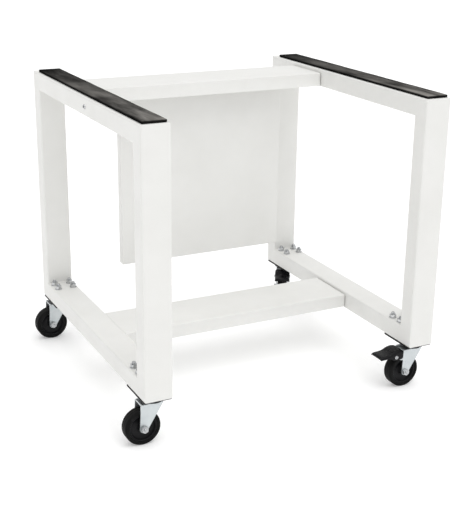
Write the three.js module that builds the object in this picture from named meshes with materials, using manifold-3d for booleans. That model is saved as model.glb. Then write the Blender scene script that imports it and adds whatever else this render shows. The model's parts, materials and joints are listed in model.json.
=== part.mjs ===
// A wheeled steel stand for a large format plotter: two mitred end frames of rectangular
// tube, two cross beams, a hanging back panel, rubber strips on top and four swivel castors.
// Millimetres, +X to the right, +Y to the back, +Z up, standing on z = 0.
import * as THREE from 'three';
import { mergeVertices } from 'three/addons/utils/BufferGeometryUtils.js';
import Module from 'manifold-3d';

const wasm = await Module();
wasm.setup();

// Overall sizes
const STAND_WIDTH = 680;
const STAND_DEPTH = 650;
const FRAME_HEIGHT = 545;

// End frame tube: TUBE_WIDE runs across the stand, TUBE_NARROW in the plane of the frame
const TUBE_WIDE = 60;
const TUBE_NARROW = 40;
const TUBE_WALL = 2;
const TUBE_CORNER = 4;

// Clearances
const WELD_GAP = 0.3;
const FACE_GAP = 0.2;
const BOLT_CLEARANCE = 0.5;
const RUNNING_GAP = 0.5;
const CUT_OVERSHOOT = 5;

// Rubber strips on the top rails
const STRIP_SIDE_INSET = 5.5;
const STRIP_HEIGHT = 6;
const STRIP_CHAMFER = 1;
const STRIP_FRONT_SETBACK = 6;
const STRIP_REAR_SETBACK = 28;

// Cross beams: folded channels, open below, closed by a flange at each end
const BEAM_DEPTH = 130;
const BEAM_HEIGHT = 30;
const BEAM_WALL = 2;
const UPPER_BEAM_REAR_SETBACK = 110;
const UPPER_BEAM_DROP = 8;
const BEAM_BOLT_INSET = 25;

// Back panel: a shallow folded tray, open to the back, under the upper beam
const PANEL_WIDTH = 405;
const PANEL_HEIGHT = 392;
const PANEL_DEPTH = 20;
const PANEL_WALL = 1.5;

// Screws
const BOLT_RADIUS = 4;
const HEX_ACROSS_FLATS = 13;
const NUT_HEIGHT = 6.5;
const HEX_HEAD_HEIGHT = 5.3;
const WASHER_RADIUS = 8;
const WASHER_HEIGHT = 1.6;
const THREAD_SHOWING = 5;
const BUTTON_HEAD_RADIUS = 7;
const BUTTON_HEAD_HEIGHT = 4;
const BUTTON_HEAD_TAPER = 0.7;
const SIDE_SCREW_RADIUS = 3;
const SIDE_SCREW_HEAD_RADIUS = 5;
const SIDE_SCREW_HEAD_HEIGHT = 2.6;
const SIDE_SCREW_LENGTH = 12;
const SIDE_SCREW_FROM_MIDDLE = -28;

// Castors; the headings are the directions in which they trail at rest, in degrees from +X
const SWIVEL_FROM_END = 33;
const PLATE_FROM_END = 3;
const PLATE_THICKNESS = 2.5;
const PLATE_CORNER = 4;
const PLATE_MARGIN = 14;
const BOLT_ROW_FROM_POST = 15;
const BOLT_ROW_PITCH = 29;
const BOLT_FROM_TUBE_SIDE = 12;
const RACE_RADIUS = 19;
const BOLT_HEAD_FROM_RACE = 2;
const RACE_HEIGHT = 6;
const KINGPIN_RADIUS = 5;
const KINGPIN_HEAD_RADIUS = 9;
const KINGPIN_HEAD_HEIGHT = 3;
const CROWN_THICKNESS = 3;
const CROWN_RADIUS = 21;
const FORK_SHEET = 2.5;
const FORK_LEADING = 18;
const FORK_TRAILING = 31;
const FORK_TIP_RADIUS = 8.5;
const TRAIL = 25;
const TRAIL_HEADINGS = { front_left: 180, rear_left: 180, front_right: 180, rear_right: 240 };
const WHEEL_RADIUS = 37.5;
const WHEEL_HEADROOM = 25;
const TYRE_WIDTH = 25;
const TYRE_THICKNESS = 8;
const HUB_WIDTH = 26;
const HUB_BOSS_RADIUS = 9;
const HUB_WEB = 10;
const HUB_RIM = 3.4;
const HUB_RIM_WIDTH = 22;
const WHEEL_SIDE_GAP = 1;

// Brake levers
const BRAKE_PIN_RADIUS = 3;
const BRAKE_PIN_BEHIND_FORK = 21;
const BRAKE_PIN_UNDER_CROWN = 13.8;
const BRAKE_PIN_HEAD_RADIUS = 4.5;
const BRAKE_PIN_HEAD_HEIGHT = 1.4;
const BRAKE_LUG_RADIUS = 6.2;
const LEVER_SHEET = 2.5;
const LEVER_CHEEK_RADIUS = 9;
const LUG_ROOT_OVERLAP = 4;

// Outlines of the lever, out and up from its pin: the cheek's upper edge, and the cover with
// its pedal, round from the wheel side
const LEVER_CHEEK_EDGE = [[-18, 9.5], [-6, 12.5], [6, 10.5], [18, 6], [20, 2.5]];
const LEVER_COVER = [
  [-18, 10.5], [-6, 13.5], [6, 11.5], [18, 7], [40, 7.5], [43, 5],
  [41, 2.5], [18, 3.5], [6, 8.5], [-6, 10.5], [-18, 7.5],
];

// Roundness, in sides per full turn
const WHEEL_SIDES = 28;
const PIN_SIDES = 10;
const RACE_SIDES = 20;
const CORNER_STEPS = 2;

const COLOURS = {
  frame: { color: 0xf0f0ed, roughness: 0.45, metalness: 0.1 },
  rubber: { color: 0x2b2b2c, roughness: 0.6, metalness: 0 },
  zinc: { color: 0xcdd4d8, roughness: 0.35, metalness: 0.9 },
  plate: { color: 0x141414, roughness: 0.5, metalness: 0.2 },
  tyre: { color: 0x1b1b1c, roughness: 0.7, metalness: 0 },
  plastic: { color: 0x151516, roughness: 0.5, metalness: 0 },
};

// Heights and places that follow from the sizes above
const HEX_RADIUS = HEX_ACROSS_FLATS / Math.sqrt(3);
const FRAME_X = (STAND_WIDTH - TUBE_WIDE) / 2;
const CASTOR_HEIGHT = 2 * WHEEL_RADIUS + WHEEL_HEADROOM;
const FRAME_TOP = CASTOR_HEIGHT + FRAME_HEIGHT;
const STRIP_WIDTH = TUBE_WIDE - 2 * STRIP_SIDE_INSET;
const BEAM_LENGTH = STAND_WIDTH - 2 * TUBE_WIDE - 2 * FACE_GAP;
const UPPER_BEAM_Y = STAND_DEPTH / 2 - UPPER_BEAM_REAR_SETBACK - BEAM_DEPTH / 2;
const UPPER_BEAM_TOP = FRAME_TOP - UPPER_BEAM_DROP;
const LOWER_BEAM_TOP = CASTOR_HEIGHT + (TUBE_NARROW + BEAM_HEIGHT) / 2;
const SWIVEL_Y = STAND_DEPTH / 2 - SWIVEL_FROM_END;
const BOLT_ACROSS = TUBE_WIDE / 2 - BOLT_FROM_TUBE_SIDE;
const BOLT_FROM_SWIVEL = Math.sqrt(Math.max(
  0, (RACE_RADIUS + BUTTON_HEAD_RADIUS + BOLT_HEAD_FROM_RACE) ** 2 - BOLT_ACROSS ** 2));
const BOLT_ROW = Math.max(TUBE_NARROW + BOLT_ROW_FROM_POST, SWIVEL_FROM_END + BOLT_FROM_SWIVEL);
const BOLT_ROWS_FROM_END = [BOLT_ROW, BOLT_ROW + BOLT_ROW_PITCH];
const PLATE_TOP = CASTOR_HEIGHT - FACE_GAP;
const PLATE_BOTTOM = PLATE_TOP - PLATE_THICKNESS;
const CROWN_TOP = PLATE_BOTTOM - RACE_HEIGHT - RUNNING_GAP;
const FORK_INSIDE = HUB_WIDTH / 2 + WHEEL_SIDE_GAP;
const FORK_OUTSIDE = FORK_INSIDE + FORK_SHEET;
const BRAKE_PIN = {
  out: FORK_TRAILING + BRAKE_PIN_BEHIND_FORK,
  up: CROWN_TOP - BRAKE_PIN_UNDER_CROWN,
  radius: BRAKE_PIN_RADIUS,
};
const LEVER_INSIDE = FORK_OUTSIDE + RUNNING_GAP;
const LEVER_OUTSIDE = LEVER_INSIDE + LEVER_SHEET;

// A closed geometry as a manifold solid, and back again
function toSolid(geometry) {
  const bare = geometry.clone();
  bare.deleteAttribute('normal');
  bare.deleteAttribute('uv');
  const merged = mergeVertices(bare, 1e-4);
  return new wasm.Manifold(new wasm.Mesh({
    numProp: 3,
    vertProperties: new Float32Array(merged.attributes.position.array),
    triVerts: new Uint32Array(merged.index.array),
  }));
}

function toGeometry(solid) {
  const mesh = solid.getMesh();
  const geometry = new THREE.BufferGeometry();
  geometry.setAttribute('position', new THREE.BufferAttribute(mesh.vertProperties, 3));
  geometry.setIndex(new THREE.BufferAttribute(mesh.triVerts, 1));
  geometry.computeVertexNormals();
  return geometry;
}

function join(geometries) {
  const solids = geometries.map(toSolid);
  return toGeometry(solids.reduce((whole, piece) => whole.add(piece)));
}

function cut(geometry, tools) {
  const solids = tools.map(toSolid);
  return toGeometry(solids.reduce((whole, tool) => whole.subtract(tool), toSolid(geometry)));
}

function addMesh(parent, name, geometry, look) {
  const mesh = new THREE.Mesh(geometry, new THREE.MeshStandardMaterial(COLOURS[look]));
  mesh.name = name;
  parent.add(mesh);
  return mesh;
}

// Round and six-sided bars that stand along Z, X or Y between two places
function barZ(radius, low, high, x = 0, y = 0, sides = PIN_SIDES) {
  const bar = new THREE.CylinderGeometry(radius, radius, high - low, sides);
  return bar.rotateX(Math.PI / 2).translate(x, y, (low + high) / 2);
}

function barX(radius, low, high, y = 0, z = 0, sides = PIN_SIDES) {
  const bar = new THREE.CylinderGeometry(radius, radius, high - low, sides);
  return bar.rotateZ(Math.PI / 2).translate((low + high) / 2, y, z);
}

function barY(radius, low, high, x = 0, z = 0, sides = PIN_SIDES) {
  const bar = new THREE.CylinderGeometry(radius, radius, high - low, sides);
  return bar.translate(x, (low + high) / 2, z);
}

function roundedRectangle(width, height, corner) {
  const shape = new THREE.Shape();
  const w = width / 2 - corner;
  const h = height / 2 - corner;
  shape.absarc(w, -h, corner, -Math.PI / 2, 0);
  shape.absarc(w, h, corner, 0, Math.PI / 2);
  shape.absarc(-w, h, corner, Math.PI / 2, Math.PI);
  shape.absarc(-w, -h, corner, Math.PI, 1.5 * Math.PI);
  shape.closePath();
  return shape;
}

// A flat outline drawn in X and Z, made `width` thick and centred on y
function sideProfile(shape, width, y = 0) {
  const slab = new THREE.ExtrudeGeometry(shape, { depth: width, bevelEnabled: false, curveSegments: 6 });
  return slab.rotateX(Math.PI / 2).translate(0, y + width / 2, 0);
}

// A hollow tube along Z, cut at 45 degrees at both ends; its +Y side is the long outer side
function mitredTube(length) {
  const section = roundedRectangle(TUBE_WIDE, TUBE_NARROW, TUBE_CORNER);
  const bore = roundedRectangle(
    TUBE_WIDE - 2 * TUBE_WALL, TUBE_NARROW - 2 * TUBE_WALL, TUBE_CORNER - TUBE_WALL);
  section.holes.push(new THREE.Path(bore.getPoints(CORNER_STEPS).reverse()));
  const tube = new THREE.ExtrudeGeometry(
    section, { depth: length, bevelEnabled: false, curveSegments: CORNER_STEPS });
  const position = tube.attributes.position;
  for (let i = 0; i < position.count; i += 1) {
    const setback = TUBE_NARROW / 2 - position.getY(i) + WELD_GAP / 2;
    const atStart = position.getZ(i) < length / 2;
    position.setZ(i, atStart ? setback : length - setback);
  }
  return tube;
}

// A post stands at one end of the frame; `facing` is -1 at the front and +1 at the back
function post(facing) {
  const tube = mitredTube(FRAME_HEIGHT);
  if (facing < 0) {
    tube.rotateZ(Math.PI);
  }
  return tube.translate(0, facing * (STAND_DEPTH - TUBE_NARROW) / 2, CASTOR_HEIGHT);
}

// A rail lies along Y at height z; `facing` is -1 at the bottom and +1 at the top
function rail(facing, z) {
  const tube = mitredTube(STAND_DEPTH).rotateX(facing * Math.PI / 2);
  return tube.translate(0, facing * STAND_DEPTH / 2, z);
}

// Where the two bolts at each end of a beam sit along Y
function beamBoltYs(beamY) {
  return [-1, 1].map((way) => beamY + way * (BEAM_DEPTH / 2 - BEAM_BOLT_INSET));
}

// Holes through a rail's inner wall for the bolts of a beam
function beamHoles(side, beamY, z) {
  const inner = -side * TUBE_WIDE / 2;
  const ends = [inner - CUT_OVERSHOOT, inner + CUT_OVERSHOOT];
  return beamBoltYs(beamY).map((y) => barX(BOLT_RADIUS + BOLT_CLEARANCE, ends[0], ends[1], y, z));
}

// The eight castor bolts of an end frame, as places along X and Y
function castorBoltPlaces(endSign) {
  const places = [];
  for (const fromEnd of BOLT_ROWS_FROM_END) {
    for (const across of [-BOLT_ACROSS, BOLT_ACROSS]) {
      places.push([across, endSign * (STAND_DEPTH / 2 - fromEnd)]);
    }
  }
  return places;
}

function castorHoles(bottom, top) {
  const places = [...castorBoltPlaces(-1), ...castorBoltPlaces(1)];
  return places.map(([x, y]) => barZ(BOLT_RADIUS + BOLT_CLEARANCE, bottom, top, x, y));
}

// One end frame: two posts and two rails; `side` is -1 on the left and +1 on the right
function makeEndFrame(side, word) {
  const frame = new THREE.Group();
  frame.position.x = side * FRAME_X;
  addMesh(frame, `${word}_front_post`, post(-1), 'frame');
  addMesh(frame, `${word}_rear_post`, post(1), 'frame');
  const topZ = FRAME_TOP - TUBE_NARROW / 2;
  const bottomZ = CASTOR_HEIGHT + TUBE_NARROW / 2;
  const topHoles = beamHoles(side, UPPER_BEAM_Y, UPPER_BEAM_TOP - BEAM_HEIGHT / 2);
  if (side < 0) {
    topHoles.push(sideScrewHole(topZ));
    addMesh(frame, 'left_rail_side_screw', sideScrew(topZ), 'zinc');
  }
  addMesh(frame, `${word}_top_rail`, cut(rail(1, topZ), topHoles), 'frame');
  const bottomHoles = [
    ...beamHoles(side, 0, LOWER_BEAM_TOP - BEAM_HEIGHT / 2),
    ...castorHoles(CASTOR_HEIGHT - CUT_OVERSHOOT, CASTOR_HEIGHT + TUBE_NARROW + CUT_OVERSHOOT),
  ];
  addMesh(frame, `${word}_bottom_rail`, cut(rail(-1, bottomZ), bottomHoles), 'frame');
  addMesh(frame, `${word}_top_strip`, rubberStrip(), 'rubber');
  return frame;
}

// The button head screw in the outer wall of the left top rail
function sideScrewHole(z) {
  const wall = -TUBE_WIDE / 2;
  const reach = [wall - CUT_OVERSHOOT, wall + CUT_OVERSHOOT];
  return barX(SIDE_SCREW_RADIUS + BOLT_CLEARANCE, reach[0], reach[1], SIDE_SCREW_FROM_MIDDLE, z);
}

function sideScrew(z) {
  const seat = -TUBE_WIDE / 2 - FACE_GAP;
  const y = SIDE_SCREW_FROM_MIDDLE;
  const head = barX(SIDE_SCREW_HEAD_RADIUS, seat - SIDE_SCREW_HEAD_HEIGHT, seat, y, z);
  const shank = barX(SIDE_SCREW_RADIUS, seat - 1, seat + SIDE_SCREW_LENGTH, y, z);
  return join([head, shank]);
}

// The rubber strip that the plotter rests on, with chamfered long edges
function rubberStrip() {
  const length = STAND_DEPTH - STRIP_FRONT_SETBACK - STRIP_REAR_SETBACK;
  const half = STRIP_WIDTH / 2;
  const section = new THREE.Shape();
  section.moveTo(-half, 0);
  section.lineTo(half, 0);
  section.lineTo(half, STRIP_HEIGHT - STRIP_CHAMFER);
  section.lineTo(half - STRIP_CHAMFER, STRIP_HEIGHT);
  section.lineTo(STRIP_CHAMFER - half, STRIP_HEIGHT);
  section.lineTo(-half, STRIP_HEIGHT - STRIP_CHAMFER);
  section.closePath();
  const middle = (STRIP_FRONT_SETBACK - STRIP_REAR_SETBACK) / 2;
  const strip = new THREE.ExtrudeGeometry(section, { depth: length, bevelEnabled: false });
  return strip.rotateX(Math.PI / 2).translate(0, middle + length / 2, FRAME_TOP + FACE_GAP);
}

// A box and the space to cut from it; `open` points along Y or Z to the side left without a wall
function openBox(size, wall, open) {
  const outer = new THREE.BoxGeometry(size.x, size.y, size.z);
  const hollow = new THREE.BoxGeometry(
    size.x - 2 * wall,
    open.y ? size.y : size.y - 2 * wall,
    open.z ? size.z : size.z - 2 * wall);
  hollow.translate(0, open.y * wall, open.z * wall);
  return { outer, hollow };
}

// A cross beam, a channel with its open side down and bolt holes in its end flanges
function makeBeam(name, y, top) {
  const size = new THREE.Vector3(BEAM_LENGTH, BEAM_DEPTH, BEAM_HEIGHT);
  const { outer, hollow } = openBox(size, BEAM_WALL, { y: 0, z: -1 });
  const reach = BEAM_LENGTH / 2 + CUT_OVERSHOOT;
  const holes = beamBoltYs(0).map((boltY) => barX(BOLT_RADIUS + BOLT_CLEARANCE, -reach, reach, boltY, 0));
  const beam = new THREE.Group();
  beam.position.set(0, y, top - BEAM_HEIGHT / 2);
  addMesh(beam, name, cut(outer, [hollow, ...holes]), 'frame');
  for (const [side, word] of [[-1, 'left'], [1, 'right']]) {
    beamBoltYs(0).forEach((boltY, i) => {
      const end = i === 0 ? 'front' : 'rear';
      const bolt = addMesh(beam, `${name}_bolt_${word}_${end}`, beamBolt(), 'zinc');
      bolt.position.set(side * BEAM_LENGTH / 2, boltY, 0);
      bolt.rotation.z = side > 0 ? 0 : Math.PI;
    });
  }
  return beam;
}

// A hex bolt from inside the beam into a nut behind the rail's wall; it points along +X
function beamBolt() {
  const seat = -BEAM_WALL - FACE_GAP;
  const nut = 2 * FACE_GAP + TUBE_WALL;
  const turn = new THREE.Matrix4().makeRotationX(Math.PI / 6);
  const head = barX(HEX_RADIUS, seat - HEX_HEAD_HEIGHT, seat, 0, 0, 6).applyMatrix4(turn);
  const shank = barX(BOLT_RADIUS, seat - 1, nut + NUT_HEIGHT + THREAD_SHOWING);
  const backNut = barX(HEX_RADIUS, nut, nut + NUT_HEIGHT, 0, 0, 6).applyMatrix4(turn);
  return join([head, shank, backNut]);
}

// The back panel hangs under the upper beam with its flat face to the front
function makePanel() {
  const size = new THREE.Vector3(PANEL_WIDTH, PANEL_DEPTH, PANEL_HEIGHT);
  const { outer, hollow } = openBox(size, PANEL_WALL, { y: 1, z: 0 });
  const panel = new THREE.Group();
  const top = UPPER_BEAM_TOP - BEAM_HEIGHT - FACE_GAP;
  panel.position.set(0, UPPER_BEAM_Y, top - PANEL_HEIGHT / 2);
  addMesh(panel, 'back_panel', cut(outer, [hollow]), 'frame');
  return panel;
}

// A castor's mounting plate with its ball race and kingpin; `endSign` is -1 at the front
function castorPlate(endSign) {
  const outerEdge = SWIVEL_FROM_END - PLATE_FROM_END;
  const innerEdge = Math.max(...BOLT_ROWS_FROM_END) + PLATE_MARGIN - SWIVEL_FROM_END;
  const outline = roundedRectangle(TUBE_WIDE, outerEdge + innerEdge, PLATE_CORNER);
  const plate = new THREE.ExtrudeGeometry(
    outline, { depth: PLATE_THICKNESS, bevelEnabled: false, curveSegments: CORNER_STEPS });
  plate.translate(0, endSign * (outerEdge - innerEdge) / 2, PLATE_BOTTOM);
  const race = barZ(RACE_RADIUS, PLATE_BOTTOM - RACE_HEIGHT, PLATE_BOTTOM + 1, 0, 0, RACE_SIDES);
  const pinLow = CROWN_TOP - CROWN_THICKNESS - RUNNING_GAP - KINGPIN_HEAD_HEIGHT;
  const kingpin = barZ(KINGPIN_RADIUS, pinLow, PLATE_BOTTOM);
  const head = barZ(KINGPIN_HEAD_RADIUS, pinLow, pinLow + KINGPIN_HEAD_HEIGHT);
  const holes = castorBoltPlaces(endSign).map(([x, y]) => (
    barZ(BOLT_RADIUS + BOLT_CLEARANCE, PLATE_BOTTOM - CUT_OVERSHOOT, PLATE_TOP + CUT_OVERSHOOT,
      x, y - endSign * SWIVEL_Y)));
  return cut(join([plate, race, kingpin, head]), holes);
}

// A castor bolt with its washer and nut, clamped through the plate and the bottom rail
function castorBolt() {
  const seat = PLATE_BOTTOM - FACE_GAP;
  const railTop = CASTOR_HEIGHT + TUBE_NARROW + FACE_GAP;
  const nutLow = railTop + WASHER_HEIGHT;
  const head = new THREE.CylinderGeometry(
    BUTTON_HEAD_RADIUS, BUTTON_HEAD_RADIUS * BUTTON_HEAD_TAPER, BUTTON_HEAD_HEIGHT, PIN_SIDES);
  head.rotateX(Math.PI / 2).translate(0, 0, seat - BUTTON_HEAD_HEIGHT / 2);
  const shank = barZ(BOLT_RADIUS, seat - 1, nutLow + NUT_HEIGHT + THREAD_SHOWING);
  const washer = barZ(WASHER_RADIUS, railTop, nutLow);
  const nut = barZ(HEX_RADIUS, nutLow - 0.5, nutLow + NUT_HEIGHT, 0, 0, 6);
  return join([head, shank, washer, nut]);
}

// The angle at which a line from a place outside a circle touches it
function tangentAngle(place, centre, radius, way) {
  const away = place.clone().sub(centre);
  return Math.atan2(away.y, away.x) + way * Math.acos(radius / away.length());
}

// The fork: a round crown and two tapering legs, with lugs and a pin where it has a brake
function fork(braked) {
  const axle = new THREE.Vector2(TRAIL, WHEEL_RADIUS);
  const trailing = new THREE.Vector2(FORK_TRAILING, CROWN_TOP);
  const leading = new THREE.Vector2(-FORK_LEADING, CROWN_TOP);
  const start = tangentAngle(trailing, axle, FORK_TIP_RADIUS, -1);
  const end = tangentAngle(leading, axle, FORK_TIP_RADIUS, 1);
  const leg = new THREE.Shape();
  leg.moveTo(leading.x, leading.y);
  leg.lineTo(trailing.x, trailing.y);
  leg.absarc(axle.x, axle.y, FORK_TIP_RADIUS, start, end, true);
  leg.closePath();
  const pieces = [];
  const legY = FORK_INSIDE + FORK_SHEET / 2;
  const crownLow = CROWN_TOP - CROWN_THICKNESS;
  for (const way of [-1, 1]) {
    pieces.push(sideProfile(leg, FORK_SHEET, way * legY));
    if (braked) {
      pieces.push(sideProfile(brakeLug(), FORK_SHEET, way * legY));
    }
  }
  const bridge = new THREE.BoxGeometry(FORK_LEADING + FORK_TRAILING, 2 * FORK_OUTSIDE, CROWN_THICKNESS);
  bridge.translate((FORK_TRAILING - FORK_LEADING) / 2, 0, crownLow + CROWN_THICKNESS / 2);
  pieces.push(bridge, barZ(CROWN_RADIUS, crownLow, CROWN_TOP, 0, 0, RACE_SIDES));
  if (braked) {
    pieces.push(...brakePin());
  }
  const reach = FORK_OUTSIDE + CUT_OVERSHOOT;
  return cut(join(pieces), [
    barZ(KINGPIN_RADIUS + RUNNING_GAP, crownLow - 1, CROWN_TOP + 1),
    barY(BOLT_RADIUS + FACE_GAP, -reach, reach, TRAIL, WHEEL_RADIUS),
  ]);
}

// The lug behind a braked fork's leg that carries the lever's pin
function brakeLug() {
  const { out, up } = BRAKE_PIN;
  const lug = new THREE.Shape();
  lug.moveTo(FORK_TRAILING - LUG_ROOT_OVERLAP, up + BRAKE_LUG_RADIUS);
  lug.lineTo(out, up + BRAKE_LUG_RADIUS);
  lug.absarc(out, up, BRAKE_LUG_RADIUS, Math.PI / 2, -Math.PI / 2, true);
  lug.lineTo(FORK_TRAILING - LUG_ROOT_OVERLAP, up - 2 * BRAKE_LUG_RADIUS);
  lug.closePath();
  return lug;
}

function brakePin() {
  const { out, up, radius } = BRAKE_PIN;
  const neck = LEVER_OUTSIDE + RUNNING_GAP;
  const tip = neck + BRAKE_PIN_HEAD_HEIGHT;
  return [
    barY(radius, -neck - 0.5, neck + 0.5, out, up),
    barY(BRAKE_PIN_HEAD_RADIUS, -tip, -neck, out, up),
    barY(BRAKE_PIN_HEAD_RADIUS, neck, tip, out, up),
  ];
}

// The brake lever: two cheeks on the pin, a cover over the wheel and a pedal behind it
function brakeLever() {
  const { out, up, radius } = BRAKE_PIN;
  const fromPin = ([x, z]) => new THREE.Vector2(out + x, up + z);
  const cheek = new THREE.Shape(LEVER_CHEEK_EDGE.map(fromPin));
  cheek.absarc(out, up, LEVER_CHEEK_RADIUS, -Math.PI / 8, -Math.PI * 0.8, true);
  cheek.closePath();
  const cover = new THREE.Shape(LEVER_COVER.map(fromPin));
  const cheekY = LEVER_INSIDE + LEVER_SHEET / 2;
  const whole = join([
    sideProfile(cheek, LEVER_SHEET, -cheekY),
    sideProfile(cheek, LEVER_SHEET, cheekY),
    sideProfile(cover, 2 * LEVER_OUTSIDE),
  ]);
  const reach = LEVER_OUTSIDE + CUT_OVERSHOOT;
  return cut(whole, [barY(radius + RUNNING_GAP, -reach, reach, out, up)]);
}

// The tyre and the hub turn about Y; both profiles close on themselves
function ring(profile) {
  const points = profile.map(([radius, along]) => new THREE.Vector2(radius, along));
  points.push(points[0].clone());
  return new THREE.LatheGeometry(points, WHEEL_SIDES);
}

function tyre() {
  const inner = WHEEL_RADIUS - TYRE_THICKNESS;
  const half = TYRE_WIDTH / 2;
  return ring([
    [inner, 1 - half], [WHEEL_RADIUS - 3, -half], [WHEEL_RADIUS - 0.8, 3 - half],
    [WHEEL_RADIUS, 8 - half], [WHEEL_RADIUS, half - 8], [WHEEL_RADIUS - 0.8, half - 3],
    [WHEEL_RADIUS - 3, half], [inner, half - 1],
  ]);
}

function hub() {
  const bore = BOLT_RADIUS + RUNNING_GAP;
  const outer = WHEEL_RADIUS - TYRE_THICKNESS - FACE_GAP;
  const inRim = outer - HUB_RIM;
  const web = HUB_WEB / 2;
  const half = HUB_WIDTH / 2;
  const rim = HUB_RIM_WIDTH / 2;
  return ring([
    [bore, -half], [HUB_BOSS_RADIUS, -half], [HUB_BOSS_RADIUS, -web], [inRim, -web], [inRim, -rim],
    [outer, -rim], [outer, rim], [inRim, rim], [inRim, web], [HUB_BOSS_RADIUS, web],
    [HUB_BOSS_RADIUS, half], [bore, half],
  ]);
}

// The axle bolt across the fork, with its head on one side and its nut on the other
function axleBolt() {
  const seat = FORK_OUTSIDE + FACE_GAP;
  return join([
    barY(HEX_RADIUS, -seat - HEX_HEAD_HEIGHT, -seat, TRAIL, WHEEL_RADIUS, 6),
    barY(BOLT_RADIUS, -seat - 1, seat + NUT_HEIGHT + 2, TRAIL, WHEEL_RADIUS),
    barY(HEX_RADIUS, seat, seat + NUT_HEIGHT, TRAIL, WHEEL_RADIUS, 6),
  ]);
}

// One castor under a corner: the plate and bolts are fixed, the rest is on the swivel
function makeCastor(endSign, side, word, braked) {
  const castor = new THREE.Group();
  castor.position.set(side * FRAME_X, endSign * SWIVEL_Y, 0);
  addMesh(castor, `${word}_castor_plate`, castorPlate(endSign), 'plate');
  castorBoltPlaces(endSign).forEach(([x, y], i) => {
    const bolt = addMesh(castor, `${word}_castor_bolt_${i + 1}`, castorBolt(), 'zinc');
    bolt.position.set(x, y - endSign * SWIVEL_Y, 0);
  });
  const swivel = new THREE.Group();
  swivel.rotation.z = THREE.MathUtils.degToRad(TRAIL_HEADINGS[word]);
  castor.add(swivel);
  addMesh(swivel, `${word}_fork`, fork(braked), 'zinc');
  addMesh(swivel, `${word}_axle_bolt`, axleBolt(), 'zinc');
  const wheel = new THREE.Group();
  wheel.position.set(TRAIL, 0, WHEEL_RADIUS);
  swivel.add(wheel);
  addMesh(wheel, `${word}_tyre`, tyre(), 'tyre');
  addMesh(wheel, `${word}_hub`, hub(), 'plastic');
  if (braked) {
    addMesh(swivel, `${word}_brake_lever`, brakeLever(), 'plastic');
  }
  return castor;
}

// The whole stand, with the middle of its outline on the floor at the origin
function makeStand() {
  const stand = new THREE.Group();
  stand.add(makeEndFrame(-1, 'left'), makeEndFrame(1, 'right'));
  stand.add(makeBeam('upper_beam', UPPER_BEAM_Y, UPPER_BEAM_TOP));
  stand.add(makeBeam('lower_beam', 0, LOWER_BEAM_TOP));
  stand.add(makePanel());
  for (const [side, hand] of [[-1, 'left'], [1, 'right']]) {
    for (const [endSign, end] of [[-1, 'front'], [1, 'rear']]) {
      stand.add(makeCastor(endSign, side, `${end}_${hand}`, side > 0));
    }
  }
  stand.updateMatrixWorld(true);
  const middle = new THREE.Box3().setFromObject(stand, true).getCenter(new THREE.Vector3());
  stand.position.set(-middle.x, -middle.y, 0);
  stand.updateMatrixWorld(true);
  return stand;
}

export default makeStand();
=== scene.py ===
# %% [markdown]
# # A wheeled stand for a large format plotter
# The stand is welded from white powder coated steel tube and rolls on four castors. This lesson
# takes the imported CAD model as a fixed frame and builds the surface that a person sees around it:
# rounded tubes, folded sheet, rubber, zinc plate and moulded plastic. Every place comes from the
# frame, so nothing has to be fitted by eye. Sizes are in metres, and `MM` makes them readable.

import json
import math

import bmesh
import bpy
from mathutils import Matrix, Vector

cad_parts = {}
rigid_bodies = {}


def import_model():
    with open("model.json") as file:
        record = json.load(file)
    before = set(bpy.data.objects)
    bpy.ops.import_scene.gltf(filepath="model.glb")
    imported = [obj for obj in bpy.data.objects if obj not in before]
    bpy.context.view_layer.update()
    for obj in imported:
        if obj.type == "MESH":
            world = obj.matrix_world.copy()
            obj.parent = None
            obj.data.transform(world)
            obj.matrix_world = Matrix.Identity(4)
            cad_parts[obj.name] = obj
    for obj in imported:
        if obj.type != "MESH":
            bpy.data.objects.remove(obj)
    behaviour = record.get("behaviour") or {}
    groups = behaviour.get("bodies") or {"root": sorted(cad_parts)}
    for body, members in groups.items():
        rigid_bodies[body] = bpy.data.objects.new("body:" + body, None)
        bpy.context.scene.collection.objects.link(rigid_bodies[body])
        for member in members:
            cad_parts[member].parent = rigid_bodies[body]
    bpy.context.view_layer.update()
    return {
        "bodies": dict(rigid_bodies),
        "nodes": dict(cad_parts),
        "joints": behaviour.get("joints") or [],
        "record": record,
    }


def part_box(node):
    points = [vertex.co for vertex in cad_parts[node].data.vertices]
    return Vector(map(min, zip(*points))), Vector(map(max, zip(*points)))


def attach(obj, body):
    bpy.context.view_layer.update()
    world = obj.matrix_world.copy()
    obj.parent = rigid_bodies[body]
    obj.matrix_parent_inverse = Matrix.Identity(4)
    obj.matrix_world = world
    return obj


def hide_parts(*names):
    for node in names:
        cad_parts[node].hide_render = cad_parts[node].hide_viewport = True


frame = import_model()
MM = 0.001
JOINTS = {joint["name"]: joint for joint in frame["joints"]}
CORNERS = ("front_left", "front_right", "rear_left", "rear_right")
BRAKED = tuple(corner for corner in CORNERS if f"{corner}_brake" in frame["bodies"])

# %% [markdown]
# ## Camera
# A product picture is taken a little above the object, from its front left corner, with a long
# lens that keeps the upright tubes nearly parallel. A tripod could stand anywhere on that line.
# The place is given from the middle of the frame, so it moves with the frame if that moves.

# %% Camera
CAMERA_FROM_MIDDLE = Vector((-1.021, -2.033, 1.036))
CAMERA_AZIMUTH = math.radians(26.9)
CAMERA_PITCH = math.radians(19.0)
CAMERA_ROLL = math.radians(0.76)
CAMERA_LENS = 74.5

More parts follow.
